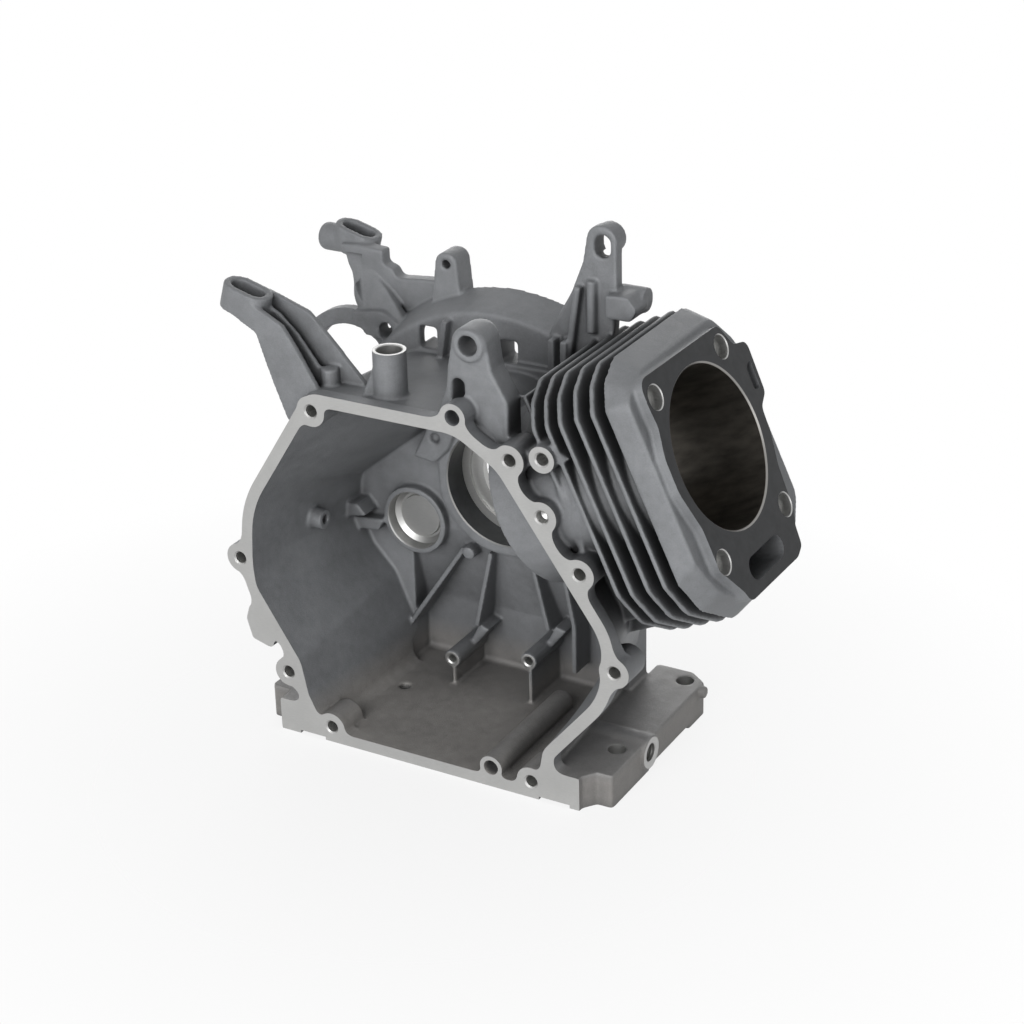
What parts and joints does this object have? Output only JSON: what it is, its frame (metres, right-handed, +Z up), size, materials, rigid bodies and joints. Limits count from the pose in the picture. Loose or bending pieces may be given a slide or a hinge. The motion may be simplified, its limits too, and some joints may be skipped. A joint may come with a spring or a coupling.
{
  "type": "engine crankcase",
  "caption": "Cast aluminium crankcase of a small single-cylinder engine: open crank chamber, tilted finned cylinder with iron liner, fan rim, bracket arms and mounting base.",
  "frame": {"origin": "on the crankshaft axis, in the plane of the side cover gasket face", "axes": "+Y along the crankshaft from the gasket face into the case; +X towards the cylinder; +Z up from the base"},
  "size_m": [0.3229, 0.137, 0.2988],
  "materials": {
    "cast_aluminium": "as cast, with machined faces",
    "iron": "honed bore"
  },
  "bodies": {
    "root": {"crankcase": "cast_aluminium", "cylinder_liner": "iron"}
  },
  "joints": []
}
